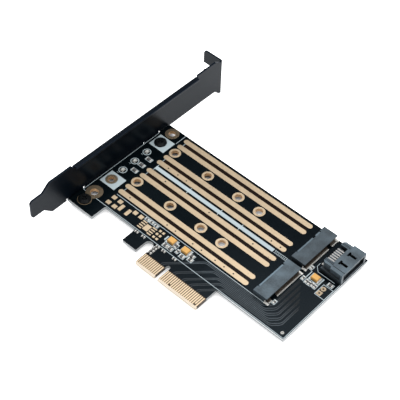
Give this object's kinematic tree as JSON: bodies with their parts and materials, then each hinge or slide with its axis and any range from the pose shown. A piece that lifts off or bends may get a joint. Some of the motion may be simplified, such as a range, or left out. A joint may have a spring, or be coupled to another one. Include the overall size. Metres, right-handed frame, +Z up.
{
  "type": "nvme adapter card",
  "caption": "Flat black plug-in circuit card on a folded metal bracket, with gilded drive lanes, low drive sockets and a right-angle data port.",
  "frame": {"origin": "on the card's mating edge, on the centreline of the key notch, at half the board's thickness", "axes": "+X from the bracket towards the drive sockets, +Y from the edge contacts to the far edge, +Z up out of the component side"},
  "size_m": [0.1264, 0.12, 0.0216],
  "materials": {
    "laminate": "gloss",
    "black_steel": "satin",
    "black_screw": "satin",
    "gold": "satin",
    "connector_plastic": "matte",
    "solder": "satin",
    "capacitor_resin": "matte",
    "lamp_resin": "gloss",
    "chip_ceramic": "matte",
    "white_print": "matte"
  },
  "bodies": {
    "root": {"board": "laminate", "bracket": "black_steel", "bracket_screws": "black_screw", "edge_contacts_top": "gold", "edge_contacts_bottom": "gold", "lane_m_strips": "gold", "lane_b_strips": "gold", "lane_m_rings": "gold", "lane_b_rings": "gold", "mount_rings": "gold", "socket_m_housing": "connector_plastic", "socket_m_contacts": "solder", "socket_m_hold_downs": "solder", "socket_b_housing": "connector_plastic", "socket_b_contacts": "solder", "socket_b_hold_downs": "solder", "sata_housing": "connector_plastic", "sata_contacts": "solder", "capacitor_bodies": "capacitor_resin", "capacitor_ends": "solder", "lamp_bodies": "lamp_resin", "lamp_ends": "solder", "chip_bodies": "chip_ceramic", "chip_ends": "solder", "power_pads": "gold", "chip_pads": "gold", "header_pads": "gold", "print_squares": "white_print", "print_bar": "white_print", "print_lines": "white_print"}
  },
  "joints": []
}
